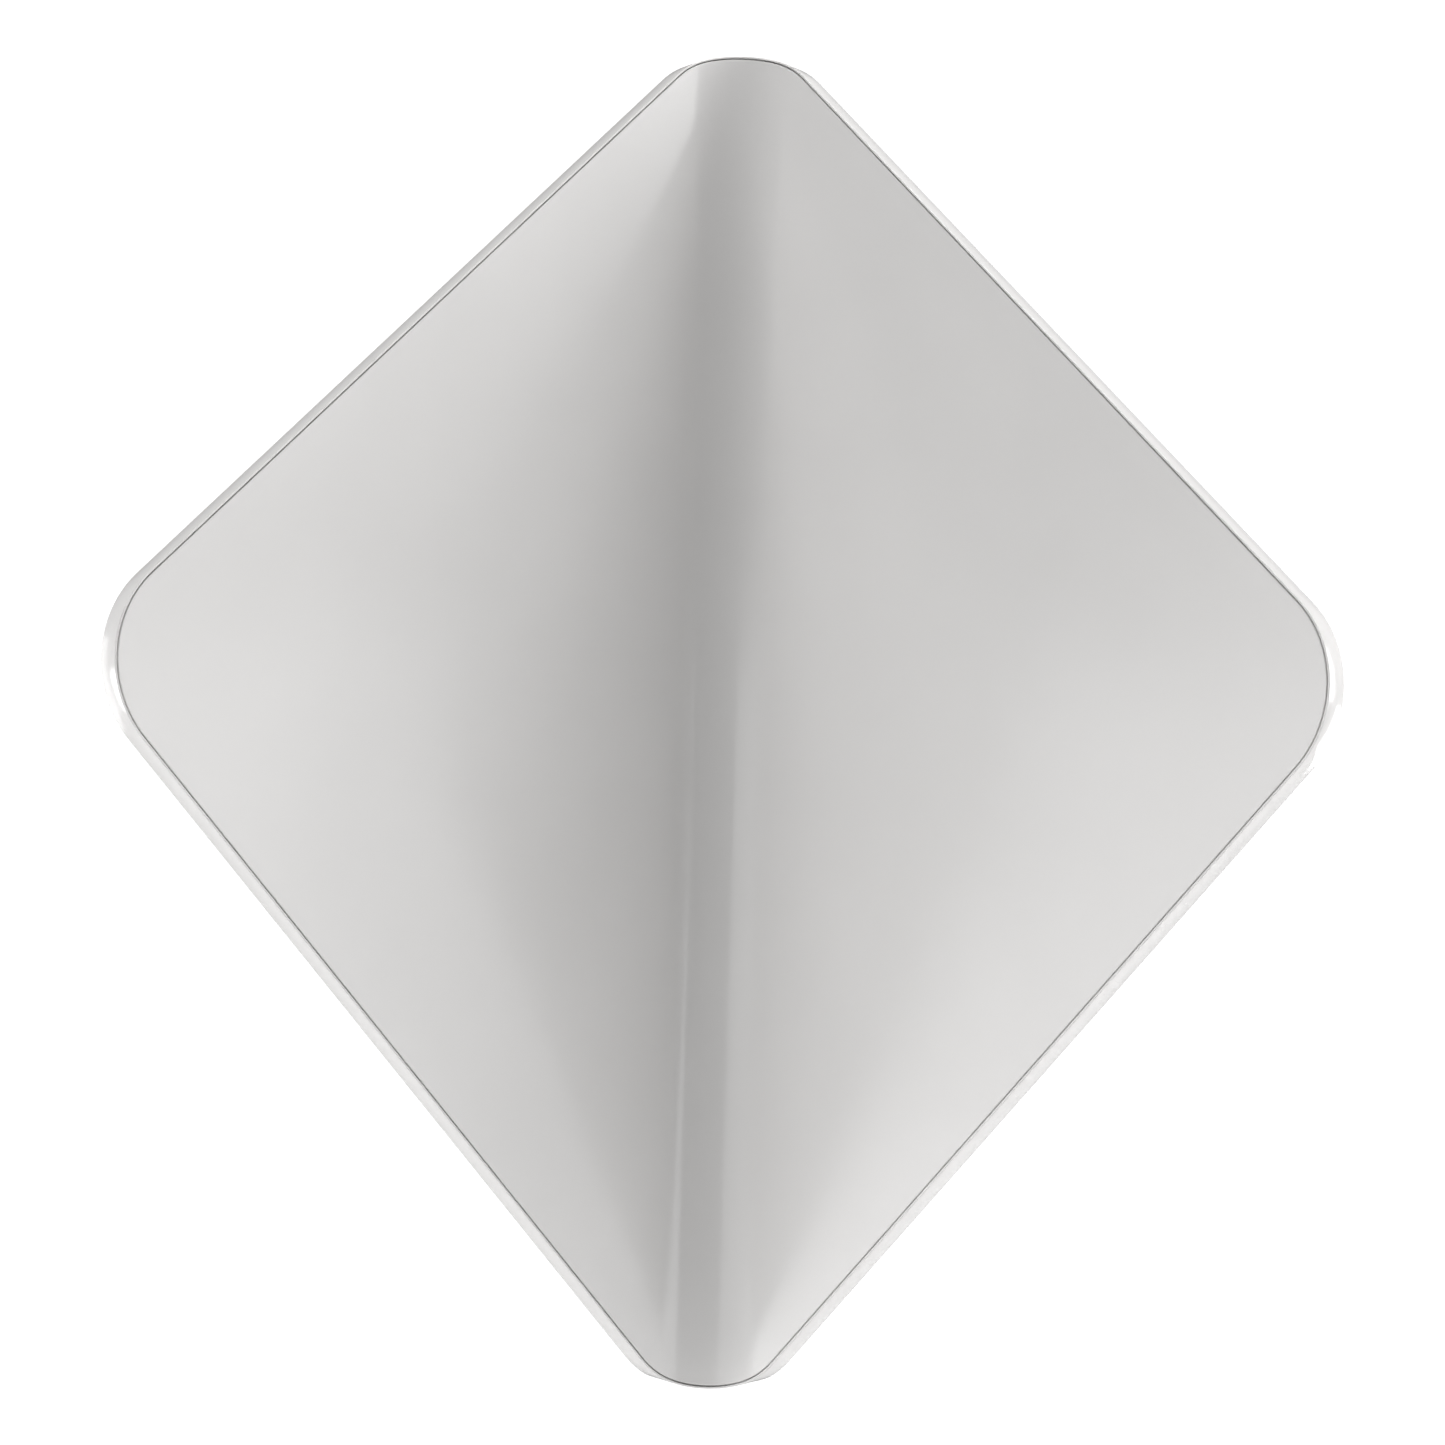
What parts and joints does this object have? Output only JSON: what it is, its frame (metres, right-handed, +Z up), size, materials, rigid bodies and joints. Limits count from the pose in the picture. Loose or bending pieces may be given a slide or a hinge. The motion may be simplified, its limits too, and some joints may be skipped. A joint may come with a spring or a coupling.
{
  "type": "folded wall light",
  "caption": "Wall light with a rounded square face folded along its upright diagonal; it hangs on a wall plate and lights the wall from both wings' backs.",
  "frame": {"origin": "on the wall plate's back face, on the fold's upright centre plane, level with the two side corners", "axes": "+Z up the wall, +Y into the wall, -Y out of the wall towards the viewer, +X to the viewer's right"},
  "size_m": [0.3198, 0.1634, 0.3986],
  "materials": {
    "white_lacquer": "satin white lacquer, soft gloss",
    "bare_aluminium": "mill-finish extrusion",
    "opal": "opal acrylic, fine matt face",
    "clear_acrylic": "clear, polished edges",
    "white_film": "matt white film",
    "thin_aluminium": "rolled sheet",
    "foam": "closed-cell foam",
    "board_white": "white solder mask on an aluminium board",
    "led_phosphor": "yellow phosphor gel",
    "zinc_steel": "bright zinc plate",
    "box_white": "satin white powder coat",
    "black_rubber": "soft black rubber",
    "driver_plastic": "fine-textured moulding",
    "block_plastic": "off-white polyamide",
    "brass_parts": "turned brass",
    "lead_sleeve": "silicone-sleeved lead"
  },
  "bodies": {
    "wall_bracket": {"wall_plate": "zinc_steel", "hanger_studs": "zinc_steel", "cable_grommet": "black_rubber"},
    "lamp": {"front_shell": "white_lacquer", "rear_frame": "white_lacquer", "spine": "bare_aluminium", "right_diffuser": "opal", "left_diffuser": "opal", "right_light_guide": "clear_acrylic", "left_light_guide": "clear_acrylic", "right_reflector_sheet": "white_film", "left_reflector_sheet": "white_film", "right_backing_plate": "thin_aluminium", "left_backing_plate": "thin_aluminium", "right_foam_pad": "foam", "left_foam_pad": "foam", "right_led_board": "board_white", "left_led_board": "board_white", "right_leds": "led_phosphor", "left_leds": "led_phosphor", "frame_screws": "zinc_steel", "back_box": "box_white", "box_screws": "zinc_steel", "led_driver": "driver_plastic", "driver_screws": "zinc_steel", "terminal_block": "block_plastic", "terminal_screws": "brass_parts", "earth_washer": "zinc_steel", "earth_screw": "brass_parts", "right_led_lead": "lead_sleeve", "left_led_lead": "lead_sleeve", "mains_leads": "lead_sleeve"}
  },
  "joints": [
    {"name": "lift_off", "type": "slide", "parent": "wall_bracket", "child": "lamp", "axis": [0, 0, 1], "range_m": [0, 0.01]}
  ]
}
